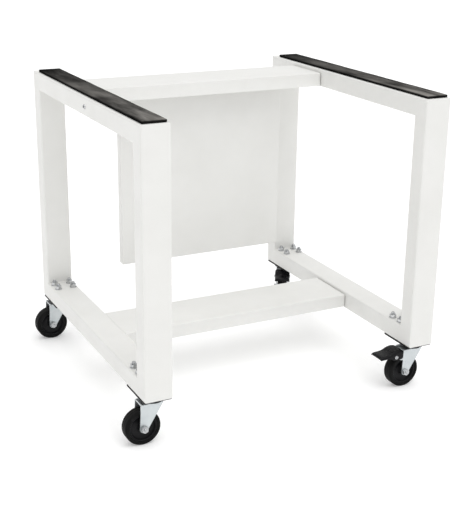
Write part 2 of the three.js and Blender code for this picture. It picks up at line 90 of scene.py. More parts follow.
left_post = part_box("left_front_post")
right_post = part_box("right_rear_post")
frame_middle = (left_post[0] + right_post[1]) / 2
frame_middle.z = 0
camera_data = bpy.data.cameras.new("camera")
camera_data.lens = CAMERA_LENS
camera = bpy.data.objects.new("camera", camera_data)
turn = Matrix.Rotation(-CAMERA_AZIMUTH, 4, "Z") @ Matrix.Rotation(math.pi / 2 - CAMERA_PITCH, 4, "X")
camera.matrix_world = (
    Matrix.Translation(frame_middle + CAMERA_FROM_MIDDLE) @ turn @ Matrix.Rotation(CAMERA_ROLL, 4, "Z"))
bpy.context.scene.collection.objects.link(camera)
bpy.context.scene.camera = camera
print("camera at", [round(v, 3) for v in camera.location])

# %% [markdown]
# ## Node helpers
# Materials and patterns are trees of nodes. Setting each one up by hand takes many lines, so one
# helper adds a node, sets its options and fills its sockets with values or links.

# %% Node helper
def add_node(tree, kind, sockets=None, **options):
    node = tree.nodes.new(kind)
    for option, value in options.items():
        setattr(node, option, value)
    for name, value in (sockets or {}).items():
        if isinstance(value, bpy.types.NodeSocket):
            tree.links.new(value, node.inputs[name])
        else:
            node.inputs[name].default_value = value
    return node


def new_group(name, inputs, outputs):
    """A shader group whose float inputs have default values, and float outputs."""
    group = bpy.data.node_groups.new(name, "ShaderNodeTree")
    for label, value in inputs.items():
        socket = group.interface.new_socket(label, in_out="INPUT", socket_type="NodeSocketFloat")
        socket.default_value = value
    for label in outputs:
        group.interface.new_socket(label, in_out="OUTPUT", socket_type="NodeSocketFloat")
    return group, group.nodes.new("NodeGroupInput"), group.nodes.new("NodeGroupOutput")


# %% [markdown]
# ## Shared effects
# Real surfaces share a few habits, whatever they are made of. **Grain** is the fine texture that a
# coating or a mould leaves. **Wear** gathers where a corner sticks out, and a painted shade darkens
# places that go in, such as between two threads, where shadow falls. **Dust** settles on what faces
# up, and on the strips the same veil is a painted sheen. Each could be painted into every material
# again, but a group with named inputs is made once and then used with other values.

# %% Grain, wear and painted shade, and dust and sheen groups
def calculate(tree, operation, first, second, clamp=False):
    """A Math node on two sockets or numbers; returns its result socket."""
    sockets = {0: first, 1: second}
    return add_node(tree, "ShaderNodeMath", sockets, operation=operation, use_clamp=clamp).outputs[0]


def noise(tree, where, scale, detail, roughness=0.5):
    sockets = {"Vector": where, "Scale": scale, "Detail": detail, "Roughness": roughness}
    return add_node(tree, "ShaderNodeTexNoise", sockets).outputs["Fac"]


def object_place(tree):
    return add_node(tree, "ShaderNodeTexCoord").outputs["Object"]


FINE_DETAIL, FINE_ROUGHNESS = 3.0, 0.55
BROAD_DETAIL, BROAD_ROUGHNESS = 5.0, 0.6


def make_grain_group():
    inputs = {"Fine Scale": 900.0, "Broad Scale": 30.0, "Stretch": 1.0}
    group, entry, leave = new_group("surface_grain", inputs, ("Height", "Mottle"))
    where = object_place(group)
    squeeze = calculate(group, "DIVIDE", 1.0, entry.outputs["Stretch"])
    along_y = add_node(group, "ShaderNodeCombineXYZ", {"X": 1.0, "Y": squeeze, "Z": 1.0}).outputs[0]
    drawn = add_node(
        group, "ShaderNodeVectorMath", {0: where, 1: along_y}, operation="MULTIPLY").outputs[0]
    fine = noise(group, where, entry.outputs["Fine Scale"], FINE_DETAIL, FINE_ROUGHNESS)
    broad = noise(group, drawn, entry.outputs["Broad Scale"], BROAD_DETAIL, BROAD_ROUGHNESS)
    group.links.new(fine, leave.inputs["Height"])
    group.links.new(broad, leave.inputs["Mottle"])
    return group


WEAR_STEEPNESS = 12.0
CREVICE_SHADE_STEEPNESS = 9.0
PATCH_DETAIL = 4.0


# Wear is real, on sharp corners; the second output is a painted shade in hollows.
def make_wear_and_shade_group():
    inputs = {"Start": 0.54, "Crevice Shade Start": 0.46, "Patches": 60.0}
    group, entry, leave = new_group("corner_wear_and_crevice_shade", inputs, ("Wear", "Crevice Shade"))
    sharp = add_node(group, "ShaderNodeNewGeometry").outputs["Pointiness"]
    broken = noise(group, object_place(group), entry.outputs["Patches"], PATCH_DETAIL)
    past = calculate(group, "SUBTRACT", sharp, entry.outputs["Start"])
    steep = calculate(group, "MULTIPLY", past, WEAR_STEEPNESS, clamp=True)
    group.links.new(calculate(group, "MULTIPLY", steep, broken), leave.inputs["Wear"])
    # Painted shade: the less pointed a place is, the darker it gets, standing in for shadow in hollows.
    below = calculate(group, "SUBTRACT", entry.outputs["Crevice Shade Start"], sharp)
    crevice_shade = calculate(group, "MULTIPLY", below, CREVICE_SHADE_STEEPNESS, clamp=True)
    group.links.new(crevice_shade, leave.inputs["Crevice Shade"])
    return group


DUST_AND_SHEEN_DETAIL = 6.0


# Real dust on most finishes; on the strips the same veil, turned up, is a painted sheen.
def make_dust_and_sheen_group():
    group, entry, leave = new_group("settled_dust_and_sheen", {"Amount": 0.1, "Patches": 14.0}, ("Dust And Sheen",))
    normal = add_node(group, "ShaderNodeNewGeometry").outputs["Normal"]
    up = add_node(group, "ShaderNodeSeparateXYZ", {"Vector": normal}).outputs["Z"]
    patchy = noise(group, object_place(group), entry.outputs["Patches"], DUST_AND_SHEEN_DETAIL)
    lying = calculate(group, "MULTIPLY", calculate(group, "MAXIMUM", up, 0.0), patchy)
    dust_and_sheen = calculate(group, "MULTIPLY", lying, entry.outputs["Amount"], clamp=True)
    group.links.new(dust_and_sheen, leave.inputs["Dust And Sheen"])
    return group


GRAIN = make_grain_group()
WEAR_AND_SHADE = make_wear_and_shade_group()
DUST_AND_SHEEN = make_dust_and_sheen_group()
print("groups", [group.name for group in (GRAIN, WEAR_AND_SHADE, DUST_AND_SHEEN)])

# %% [markdown]
# ## Materials
# All the finishes on this stand are one recipe with other amounts: a base colour that drifts
# between two close tones, a lighter or barer colour on worn corners, a painted shade in hollows, a
# veil of dust that on the strips is a painted sheen, a roughness that follows the drift, and a fine
# bump. One function builds the tree, and each finish calls it with its own values. Whether a surface
# is metal is set once on the shader.

# %% The finish recipe
# Colour of the dust veil, also used as the painted sheen on the strips.
DUST_AND_SHEEN_COLOUR = (0.46, 0.44, 0.41)


def mix_colour(tree, share, first, second):
    """Two colours mixed; the first may be a socket or three numbers."""
    base = first if isinstance(first, bpy.types.NodeSocket) else (*first, 1)
    sockets = {"Factor": share, "A": base, "B": (*second, 1)}
    return add_node(tree, "ShaderNodeMix", sockets, data_type="RGBA").outputs["Result"]


def map_range(tree, value, low, high, new_low=0.0, new_high=1.0):
    sockets = {"Value": value, "From Min": low, "From Max": high, "To Min": new_low, "To Max": new_high}
    return add_node(tree, "ShaderNodeMapRange", sockets).outputs["Result"]


def place_group(tree, group, values):
    node = add_node(tree, "ShaderNodeGroup", node_tree=group)
    for name, value in values.items():
        node.inputs[name].default_value = value
    return node.outputs


def painted_sheen_streaks(tree, drift, fade):
    """The drift as a painted sheen, fading out along Y from the second place in `fade` back to the first.
    """
    rear, front, least = fade
    along = add_node(tree, "ShaderNodeSeparateXYZ", {"Vector": object_place(tree)}).outputs["Y"]
    return calculate(tree, "MULTIPLY", drift, map_range(tree, along, rear, front, least))


def make_finish(name, tones, rough, fine, broad, bump, worn, wear_start=0.54, dust_and_sheen=0.0, metal=0.0,
                gloss=0.5, crevice_shade=None, stretch=1.0, drift_range=(0.3, 0.7), fade=None):
    material = bpy.data.materials.new(name)
    material.use_nodes = True
    tree = material.node_tree
    tree.nodes.clear()
    grain = place_group(tree, GRAIN, {"Fine Scale": fine, "Broad Scale": broad, "Stretch": stretch})
    wear_and_shade = place_group(tree, WEAR_AND_SHADE, {"Start": wear_start})
    veil = place_group(tree, DUST_AND_SHEEN, {"Amount": dust_and_sheen})["Dust And Sheen"]
    drift = map_range(tree, grain["Mottle"], *drift_range)
    # Painted sheen on the strips: the veil is lightest at the front and fades towards the rear.
    if fade:
        veil = calculate(tree, "MULTIPLY", veil, painted_sheen_streaks(tree, drift, fade))
    colour = mix_colour(tree, drift, *tones)
    colour = mix_colour(tree, wear_and_shade["Wear"], colour, worn)
    # Painted shade: hollows such as thread roots and bends are darkened towards this colour.
    if crevice_shade:
        colour = mix_colour(tree, wear_and_shade["Crevice Shade"], colour, crevice_shade)
    colour = mix_colour(tree, veil, colour, DUST_AND_SHEEN_COLOUR)
    strength, height = bump
    normal = add_node(tree, "ShaderNodeBump", {
        "Height": grain["Height"], "Strength": strength, "Distance": height * MM}).outputs["Normal"]
    shader = add_node(tree, "ShaderNodeBsdfPrincipled", {
        "Base Color": colour, "Roughness": map_range(tree, drift, 0.0, 1.0, *rough), "Normal": normal,
        "Metallic": metal, "Specular IOR Level": gloss})
    add_node(tree, "ShaderNodeOutputMaterial", {"Surface": shader.outputs[0]})
    return material


# %% [markdown]
# ### The finishes
# Powder coat is melted plastic dust, so it is off-white, satin and a little dimpled, like the peel
# of an orange. Zinc plate is a bright, slightly blue metal with a rolled grain, and on it and on the
# fasteners a painted shade darkens the hollows. The strips, tyres and levers are almost black, and
# only their gloss and their dust tell them apart. The strips have almost no gloss: their pale streaks
# along the rail, lightest at the front, are a painted sheen laid on with the dust veil.

# %% Make the finishes
FINISHES = {
    "frame_white": make_finish(
        "white_powder_coat", ((0.745, 0.743, 0.72), (0.782, 0.78, 0.76)), (0.5, 0.38), 650.0, 9.0,
        (0.16, 0.12), worn=(0.83, 0.83, 0.81), dust_and_sheen=0.04, gloss=0.4),
    # The strip's pale veil is a painted sheen standing in for the rubber's reflections; its gloss is
    # almost nil.
    "strip_rubber": make_finish(
        "strip_rubber", ((0.004, 0.004, 0.004), (0.009, 0.009, 0.009)), (0.66, 0.55), 1500.0, 22.0,
        (0.3, 0.1), worn=(0.01, 0.01, 0.01), dust_and_sheen=0.85, gloss=0.003, stretch=5.0,
        drift_range=(0.38, 0.64), fade=(0.3, -0.3, 0.1)),
    # Zinc: the last colour is a painted shade for the hollows of the pressed forks.
    "zinc": make_finish(
        "zinc_plate", ((0.52, 0.555, 0.57), (0.62, 0.65, 0.66)), (0.26, 0.42), 420.0, 40.0,
        (0.12, 0.08), worn=(0.8, 0.82, 0.83), metal=0.92, crevice_shade=(0.12, 0.12, 0.12)),
    # Fasteners: the last colour is a painted shade that darkens threads and sockets.
    "fasteners": make_finish(
        "zinc_fasteners", ((0.30, 0.31, 0.32), (0.52, 0.53, 0.54)), (0.2, 0.36), 900.0, 120.0,
        (0.15, 0.06), worn=(0.84, 0.84, 0.84), metal=0.95, crevice_shade=(0.03, 0.03, 0.03)),
    "plate_black": make_finish(
        "black_lacquer", ((0.007, 0.007, 0.008), (0.013, 0.013, 0.014)), (0.32, 0.46), 800.0, 25.0,
        (0.15, 0.08), worn=(0.03, 0.03, 0.03), dust_and_sheen=0.01, gloss=0.2),
    "tyre_black": make_finish(
        "tyre_rubber", ((0.005, 0.005, 0.005), (0.012, 0.012, 0.012)), (0.44, 0.6), 1300.0, 60.0,
        (0.3, 0.1), worn=(0.02, 0.02, 0.02), wear_start=0.52, dust_and_sheen=0.004, gloss=0.05),
    "hub_black": make_finish(
        "hub_plastic", ((0.004, 0.004, 0.005), (0.008, 0.008, 0.009)), (0.3, 0.42), 1600.0, 40.0,
        (0.2, 0.05), worn=(0.012, 0.012, 0.012), dust_and_sheen=0.01, gloss=0.15),
    "lever_black": make_finish(
        "lever_plastic", ((0.004, 0.004, 0.005), (0.008, 0.008, 0.009)), (0.2, 0.3), 1400.0, 45.0,
        (0.22, 0.06), worn=(0.03, 0.03, 0.03), dust_and_sheen=0.004, gloss=0.12),
}
for entry in frame["record"]["subparts"]:
    node = frame["nodes"][entry["node"]]
    node.data.materials.clear()
    node.data.materials.append(FINISHES[entry["material_slot"]])
print("finishes", sorted(FINISHES))

# %% [markdown]
# ## Mesh helpers
# A piece starts as rings of points. Joining ring to ring makes a skin, whether the rings are cuts
# through a tube or turns of a lathe. `place` puts a mesh where it belongs by moving its points, so
# that the object itself stays at the origin, and `finish_piece` gives it its finish and its body
# and hides the CAD nodes that it stands for.

# %% Mesh helpers
def skin(rings, loop_rings=False, loop_points=True, caps=False):
    """A mesh from rings with equally many points, joined each to the next."""
    mesh = bmesh.new()
    rows = [[mesh.verts.new(point) for point in ring] for ring in rings]
    count = len(rows[0])
    steps = len(rows) if loop_rings else len(rows) - 1
    for i in range(steps):
        here, there = rows[i], rows[(i + 1) % len(rows)]
        for k in range(count if loop_points else count - 1):
            n = (k + 1) % count
            mesh.faces.new((here[k], here[n], there[n], there[k]))
    if caps:
        mesh.faces.new(rows[0])
        mesh.faces.new(list(reversed(rows[-1])))
    return mesh


def to_object(mesh, name, merge=0.00001):
    bmesh.ops.remove_doubles(mesh, verts=mesh.verts, dist=merge)
    bmesh.ops.dissolve_degenerate(mesh, edges=mesh.edges, dist=merge)
    bmesh.ops.recalc_face_normals(mesh, faces=mesh.faces)
    data = bpy.data.meshes.new(name)
    mesh.to_mesh(data)
    mesh.free()
    piece = bpy.data.objects.new(name, data)
    bpy.context.scene.collection.objects.link(piece)
    return piece


def place(piece, matrix):
    piece.data.transform(matrix)
    if matrix.determinant() < 0:
        piece.data.flip_normals()
    return piece


def bevel(piece, width, segments=3, angle=35):
    modifier = piece.modifiers.new("edges", "BEVEL")
    modifier.width = width
    modifier.segments = segments
    modifier.limit_method = "ANGLE"
    modifier.angle_limit = math.radians(angle)
    modifier.use_clamp_overlap = True
    return modifier


def apply_modifiers(piece):
    evaluated = piece.evaluated_get(bpy.context.evaluated_depsgraph_get())
    data = bpy.data.meshes.new_from_object(evaluated)
    piece.modifiers.clear()
    piece.data = data
    return piece


def smooth(piece, angle=32):
    piece.data.shade_smooth()
    piece.data.set_sharp_from_angle(angle=math.radians(angle))
    return piece


def finish_piece(piece, slot, body, replaced=(), angle=32):
    smooth(piece, angle)
    piece.data.materials.clear()
    piece.data.materials.append(FINISHES[slot])
    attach(piece, body)
    if replaced:
        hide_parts(*replaced)
    return piece


def keep_faces_flat(piece):
    """Leans the smooth shading of round edges on the large flat faces beside them."""
    weighted = piece.modifiers.new("flat faces", "WEIGHTED_NORMAL")
    weighted.keep_sharp = True


def arc(centre, radius, start, end, steps):
    """Points on a round stretch, from one angle to another, in degrees."""
    angles = [math.radians(start + (end - start) * i / steps) for i in range(steps + 1)]
    return [(centre[0] + radius * math.cos(a), centre[1] + radius * math.sin(a)) for a in angles]


def rounded_section(low, high, radius, steps=5):
    """A closed outline of a rectangle with round corners, in two numbers."""
    inner_low = (low[0] + radius, low[1] + radius)
    inner_high = (high[0] - radius, high[1] - radius)
    return (arc((inner_high[0], inner_low[1]), radius, -90, 0, steps)
            + arc(inner_high, radius, 0, 90, steps)
            + arc((inner_low[0], inner_high[1]), radius, 90, 180, steps)
            + arc(inner_low, radius, 180, 270, steps))


# %% [markdown]
# ## End frames
# Each end frame is four lengths of rectangular tube, mitred at 45 degrees, welded into a loop and
# ground flush. Under the coat no seam shows, so the eye sees one closed loop. It could be modelled
# as four tubes with a join at each corner, but the light would catch on every gap. Sweeping one
# rounded section round the four corners gives the loop at once: at a mitre, a point that lies some
# way inside the outer face simply moves that far in along both sides.

# %% Weld the end frames
TUBE_CORNER = 4 * MM
GROUND_CORNER = 1.2 * MM


def end_frame(side):
    front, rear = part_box(f"{side}_front_post"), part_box(f"{side}_rear_post")
    low = Vector((front[0].x, front[0].y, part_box(f"{side}_bottom_rail")[0].z))
    high = Vector((rear[1].x, rear[1].y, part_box(f"{side}_top_rail")[1].z))
    depth = front[1].y - front[0].y
    section = rounded_section((low.x, 0), (high.x, depth), TUBE_CORNER)
    middle = (low + high) / 2
    half = (high - low) / 2
    rings = []
    for way_y, way_z in ((-1, -1), (1, -1), (1, 1), (-1, 1)):
        rings.append([(x, middle.y + way_y * (half.y - t), middle.z + way_z * (half.z - t))
                      for x, t in section])
    piece = to_object(skin(rings, loop_rings=True), f"{side}_end_frame")
    bevel(piece, GROUND_CORNER, segments=3, angle=60)
    apply_modifiers(piece)
    nodes = [f"{side}_{word}" for word in ("front_post", "rear_post", "top_rail", "bottom_rail")]
    finish_piece(piece, "frame_white", "root", nodes, angle=35)
    keep_faces_flat(piece)
    print(piece.name, len(piece.data.polygons), "faces")
    return piece


end_frames = [end_frame(side) for side in ("left", "right")]

# %% [markdown]
# ## Folded sheet
# The two beams and the back panel are trays bent from sheet steel: one flat face, four turned
# sides and an open back. A folded edge is never sharp, because sheet can't bend to a corner, and
# that soft edge leaves a dark line where a beam meets a rail. A box without its open face, with
# bevelled edges and then thickness, is the same order of work as in the press.

# %% Fold the beams and the panel
BEAM_SHEET = 2.0 * MM
PANEL_SHEET = 1.5 * MM
FOLD_RADIUS = 2.2 * MM
PANEL_FOLD_RADIUS = 1.4 * MM
BEAM_END_GAP = 1.3 * MM


def folded_tray(node, open_axis, open_way, sheet, end_gap=0.0, fold=FOLD_RADIUS):
    low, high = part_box(node)
    low.x += end_gap
    high.x -= end_gap
    mesh = bmesh.new()
    bmesh.ops.create_cube(mesh, size=1.0)
    for vert in mesh.verts:
        vert.co = Vector([low[i] + (vert.co[i] + 0.5) * (high[i] - low[i]) for i in range(3)])
    mesh.faces.ensure_lookup_table()
    gone = [face for face in mesh.faces if face.normal[open_axis] * open_way > 0.5]
    bmesh.ops.delete(mesh, geom=gone, context="FACES")
    data = bpy.data.meshes.new(node)
    mesh.to_mesh(data)
    mesh.free()
    piece = bpy.data.objects.new(f"{node}_sheet", data)
    bpy.context.scene.collection.objects.link(piece)
    bevel(piece, fold, segments=5)
    wall = piece.modifiers.new("sheet", "SOLIDIFY")
    wall.thickness = sheet
    wall.offset = -1
    apply_modifiers(piece)
    finish_piece(piece, "frame_white", "root", [node], angle=40)
    keep_faces_flat(piece)
    print(piece.name, len(piece.data.polygons), "faces")
    return piece


folded_tray("upper_beam", 2, -1, BEAM_SHEET, BEAM_END_GAP)
folded_tray("lower_beam", 2, -1, BEAM_SHEET, BEAM_END_GAP)
folded_tray("back_panel", 1, 1, PANEL_SHEET, fold=PANEL_FOLD_RADIUS)

# %% [markdown]
# ## Rubber strips
# A soft strip on each top rail keeps the plotter from sliding. It is cut from a roll, so it isn't
# quite flat: the top swells and dips by tenths of a millimetre, and that is what breaks up its
# reflections. The section has round top edges, and it is repeated along the rail with a little
# height added by a slow wave.

# %% Cut the strips
STRIP_EDGE = 1.3 * MM
STRIP_END_ROUND = 0.8 * MM
STRIP_STATIONS = 90
STRIP_WAVE = 0.16 * MM


def strip_wave(y, x):
    return STRIP_WAVE * (math.sin(y * 31.0 + x * 9.0) + 0.6 * math.sin(y * 83.0 + 1.7 - x * 40.0))


def rubber_strip(side):
    node = f"{side}_top_strip"
    low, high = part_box(node)
    section = rounded_section((low.x, low.z), (high.x, high.z - 2 * STRIP_WAVE), STRIP_EDGE, 4)
    rings = []
    for i in range(STRIP_STATIONS + 1):
        y = low.y + (high.y - low.y) * i / STRIP_STATIONS
        ring = []
        for x, z in section:
            share = (z - low.z) / (high.z - low.z)
            ring.append((x, y, z + share * strip_wave(y, x)))
        rings.append(ring)
    piece = to_object(skin(rings, caps=True), f"{side}_rubber_strip")
    bevel(piece, STRIP_END_ROUND, segments=3, angle=60)
    apply_modifiers(piece)
    finish_piece(piece, "strip_rubber", "root", [node], angle=50)
    print(piece.name, [round(v / MM, 1) for v in (high - low)])
    return piece


strips = [rubber_strip(side) for side in ("left", "right")]

# %% [markdown]
# ## Turned parts
# Wheels, races, washers and pin heads are turned shapes: one profile, spun round an axis. The
# profile is given as radius and distance along the axis. It closes on itself for a ring with a
# bore, or begins and ends on the axis for a solid.

# %% Lathe and hexagon
def lathe(profile, sides, name, closed=True):
    """Spins a profile of (radius, along) about the local Y axis."""
    rings = []
    for i in range(sides):
        a = 2 * math.pi * i / sides
        rings.append([(r * math.cos(a), along, r * math.sin(a)) for r, along in profile])
    return to_object(skin(rings, loop_rings=True, loop_points=closed), name)


HEX_CAP_SHARE = 0.97
HEX_CHAMFER = math.radians(30)


def hexagon_reach(flats, angle):
    """How far a six-sided outline reaches from its middle at one angle."""
    off = math.radians((math.degrees(angle) + 30) % 60 - 30)
    return flats / 2 / math.cos(off)


def hexagon(flats, bore, low, high, name, sides=48):
    """A six-sided head or nut about local Y, with both ends chamfered round."""
    cap = flats / 2 * HEX_CAP_SHARE
    rings = []
    for i in range(sides):
        a = 2 * math.pi * i / sides
        reach = hexagon_reach(flats, a)
        drop = (reach - cap) * math.tan(HEX_CHAMFER)
        half = [(bore, high), (cap, high), (reach, high - drop)]
        profile = half + [(reach, low + drop), (cap, low), (bore, low)]
        rings.append([(r * math.cos(a), along, r * math.sin(a)) for r, along in profile])
    return to_object(skin(rings, loop_rings=True, loop_points=True), name)


def join_objects(pieces, name):
    """Several objects with places in their meshes become one, as loose shells."""
    mesh = bmesh.new()
    for piece in pieces:
        mesh.from_mesh(piece.data)
        bpy.data.objects.remove(piece)
    data = bpy.data.meshes.new(name)
    mesh.to_mesh(data)
    mesh.free()
    whole = bpy.data.objects.new(name, data)
    bpy.context.scene.collection.objects.link(whole)
    return whole


# %% [markdown]
# ## Castors
# A castor turns about an upright axis and its wheel runs behind that axis. Both places are in the
# frame's joints, so each castor is built about its own swivel axis with local X pointing the way
# the wheel trails, and then one matrix puts it under its corner.

# %% Castor places
def joint_place(name):
    return Vector(JOINTS[name]["pos_m"])


def castor_matrix(corner):
    swivel = joint_place(f"{corner}_swivel_turn")
    axle = joint_place(f"{corner}_wheel_spin")
    heading = math.atan2(axle.y - swivel.y, axle.x - swivel.x)
    return Matrix.Translation((swivel.x, swivel.y, 0)) @ Matrix.Rotation(heading, 4, "Z")


def wheel_trail(corner):
    return (joint_place(f"{corner}_wheel_spin") - joint_place(f"{corner}_swivel_turn")).xy.length


tyre_low, tyre_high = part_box("front_left_tyre")
WHEEL_RADIUS = (tyre_high.z - tyre_low.z) / 2
TYRE_HALF = (tyre_high.y - tyre_low.y) / 2
TRAIL = wheel_trail("front_left")
print("wheel radius mm", round(WHEEL_RADIUS / MM, 2), "trail mm", round(TRAIL / MM, 2))

# %% [markdown]
# ### Tyre and hub
# The tyre is a hard black band with a nearly flat tread, round shoulders and a fine moulding line
# round its middle. The hub is plastic: a thick boss for the axle, a thin web and a rim. The web
# lies deep enough to stay in shadow, which draws the dark ring that one sees beside the fork.

# %% Mould the wheels
WHEEL_SIDES = 96
TYRE_DEEP = 8.0 * MM
HUB_BORE = 4.6 * MM
HUB_BOSS = 9.0 * MM
HUB_HALF = 13.0 * MM
TREAD_FLAT = 5.0 * MM
TREAD_CROWN = 0.05 * MM
SHOULDER = 4.0 * MM
SHOULDER_EDGE = 4.2 * MM
MOULD_LINE_HIGH = 0.18 * MM
MOULD_LINE_HALF = 0.5 * MM
TYRE_LIP = (1.5 * MM, 0.6 * MM)
RIM_THICK = 3.2 * MM
RIM_HALF = 11.0 * MM
WEB_HALF = 5.0 * MM


def mirrored(half):
    """A profile's upper half, followed by the same points below its middle."""
    return half + [(r, -along) for r, along in reversed(half)]


def tyre_profile():
    r, h = WHEEL_RADIUS, TYRE_HALF
    inner = r - TYRE_DEEP
    lip_in, lip_down = TYRE_LIP
    below = ([(inner, lip_down - h), (inner + lip_in, -h), (r - SHOULDER_EDGE, -h)]
             + arc((r - SHOULDER, SHOULDER - h), SHOULDER, -90, -8, 7)
             + [(r - TREAD_CROWN, -TREAD_FLAT), (r - MOULD_LINE_HIGH, -MOULD_LINE_HALF)])
    return below + [(r, 0)] + [(radius, -along) for radius, along in reversed(below)]


def hub_profile():
    outer = WHEEL_RADIUS - TYRE_DEEP - 0.2 * MM
    rim = outer - RIM_THICK
    edge = 0.6 * MM
    rim_part = [(outer, RIM_HALF - 0.5 * MM), (outer - 0.5 * MM, RIM_HALF), (rim + edge, RIM_HALF),
                (rim, RIM_HALF - edge), (rim - 0.8 * MM, WEB_HALF + 1.5 * MM), (rim - 2.4 * MM, WEB_HALF)]
    boss_part = [(HUB_BOSS + 7 * MM, WEB_HALF - edge), (HUB_BOSS + 2.2 * MM, WEB_HALF),
                 (HUB_BOSS + edge, WEB_HALF + 1.8 * MM), (HUB_BOSS, HUB_HALF - edge),
                 (HUB_BOSS - edge, HUB_HALF), (HUB_BORE, HUB_HALF)]
    return mirrored(rim_part + boss_part)


def wheel(corner):
    matrix = castor_matrix(corner) @ Matrix.Translation((TRAIL, 0, WHEEL_RADIUS))
    body = f"{corner}_wheel"
    tyre = place(lathe(tyre_profile(), WHEEL_SIDES, f"{corner}_tyre_band"), matrix)
    finish_piece(tyre, "tyre_black", body, [f"{corner}_tyre"], angle=40)
    hub = place(lathe(hub_profile(), WHEEL_SIDES, f"{corner}_hub_moulding"), matrix)
    finish_piece(hub, "hub_black", body, [f"{corner}_hub"], angle=40)
    return tyre, hub


wheels = [wheel(corner) for corner in CORNERS]
print("wheels", len(wheels))

# %% [markdown]
# ### Plate, race and kingpin
# The black plate is bolted up against the rail. Under it a pressed race holds the balls, and the
# kingpin is riveted through both. The plate is a rounded outline with thickness, and the race and
# the kingpin are turned.

# %% Press the plates
PLATE_SHEET = 2.5 * MM
PLATE_CORNER = 4.0 * MM
PLATE_ROUND = 0.4 * MM
RACE_RADIUS = 19.0 * MM
RACE_DEEP = 6.0 * MM
PIN_RADIUS = 5.0 * MM
PIN_HEAD = 3.0 * MM
TURNED_SIDES = 64


def upright(piece, corner):
    """Turns a part spun about Y so that it stands on the swivel axis."""
    return place(piece, castor_matrix(corner) @ Matrix.Rotation(math.pi / 2, 4, "X"))


def castor_plate(corner):
    node = f"{corner}_castor_plate"
    low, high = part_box(node)
    outline = rounded_section((low.x, low.y), (high.x, high.y), PLATE_CORNER)
    rings = [[(x, y, z) for x, y in outline] for z in (high.z - PLATE_SHEET, high.z)]
    plate = to_object(skin(rings, caps=True), f"{corner}_mounting_plate")
    bevel(plate, PLATE_ROUND, segments=2, angle=60)
    apply_modifiers(plate)
    finish_piece(plate, "plate_black", "root", [node], angle=40)
    under = high.z - PLATE_SHEET
    r = RACE_RADIUS
    outside = [(0, under), (r - 0.6 * MM, under), (r, under - 0.8 * MM), (r, under - 2.6 * MM),
               (r - 1.4 * MM, under - 3.6 * MM), (r - 1.2 * MM, under - 5.4 * MM),
               (r - 2.4 * MM, under - RACE_DEEP)]
    pin = [(PIN_RADIUS, under - RACE_DEEP), (PIN_RADIUS, low.z + PIN_HEAD), (8.2 * MM, low.z + PIN_HEAD),
           (9 * MM, low.z + 2.2 * MM), (7.6 * MM, low.z + 0.8 * MM), (4 * MM, low.z), (0, low.z)]
    race = upright(lathe(outside + pin, TURNED_SIDES, f"{corner}_ball_race", closed=False), corner)
    finish_piece(race, "plate_black", "root", angle=30)
    return plate, race


plates = [castor_plate(corner) for corner in CORNERS]
print("plates", len(plates))

# %% [markdown]
# ### Fork
# A fork is pressed from one piece of steel: a round crown and two legs that taper down to the
# axle, with a bend between them. It is easiest to bend first and cut afterwards. An upside-down U
# with round bends runs along the trail, and a flat outline seen from the side trims it to the
# shape of the legs, as a blanking tool would. The crown's disc is then joined on, and every edge
# gets the small round that a press leaves.

# %% Fork outline
FORK_INSIDE = 14.0 * MM
FORK_SHEET = 2.5 * MM
FORK_BEND = 3.6 * MM
LEG_LEADING = -18.0 * MM
LEG_TRAILING = 31.0 * MM
LEG_TIP = 8.5 * MM
CROWN_RADIUS = 21.0 * MM
CROWN_SHEET = 3.0 * MM
CROWN_BORE = 5.5 * MM
CROWN_EDGE = 1.0 * MM
LUG_RADIUS = 6.2 * MM
LUG_ROOT = 5.0 * MM


def tangent(place_2d, centre, radius, way):
    away = (place_2d[0] - centre[0], place_2d[1] - centre[1])
    return math.degrees(math.atan2(away[1], away[0]) + way * math.acos(radius / math.hypot(*away)))


def leg_outline(top):
    axle = (TRAIL, WHEEL_RADIUS)
    start = tangent((LEG_TRAILING, top), axle, LEG_TIP, -1)
    end = tangent((LEG_LEADING, top), axle, LEG_TIP, 1) - 360
    return [(LEG_LEADING, top), (LEG_TRAILING, top)] + arc(axle, LEG_TIP, start, end, 24)


def lug_outline(pin):
    inside = LEG_TRAILING - LUG_ROOT
    return ([(inside, pin[1] + LUG_RADIUS)] + arc(pin, LUG_RADIUS, 90, -90, 16)
            + [(inside, pin[1] - 2 * LUG_RADIUS)])


def prism(outline, y_low, y_high, name):
    """A flat outline in X and Z, given thickness along Y."""
    rings = [[(x, y, z) for x, z in outline] for y in (y_low, y_high)]
    return to_object(skin(rings, caps=True), name)


def combine(piece, other, operation):
    modifier = piece.modifiers.new(operation, "BOOLEAN")
    modifier.object = other
    modifier.operation = operation
    modifier.solver = "EXACT"
    apply_modifiers(piece)
    bpy.data.objects.remove(other)
    return piece


# %% Bend and cut the forks
PRESSED_RIM = 2.0 * MM
PRESSED_DEPTH = 0.7 * MM
PRESS_ROUND = 0.45 * MM
TRIM = 1.0 * MM
LUG_ROOM = 40.0 * MM


def press_leg_faces(piece):
    """Sinks the flat face of each leg a little, which leaves a raised rim round it."""
    mesh = bmesh.new()
    mesh.from_mesh(piece.data)
    middle = FORK_INSIDE + FORK_SHEET / 2
    sides = [face for face in mesh.faces if abs(face.normal.y) > 0.99 and face.calc_area() > LEG_TIP ** 2]
    faces = [face for face in sides if abs(face.calc_center_median().y) > middle]
    bmesh.ops.inset_region(mesh, faces=faces, thickness=PRESSED_RIM, depth=-PRESSED_DEPTH,
                           use_even_offset=True, use_boundary=True)
    mesh.to_mesh(piece.data)
    mesh.free()
    return len(faces)


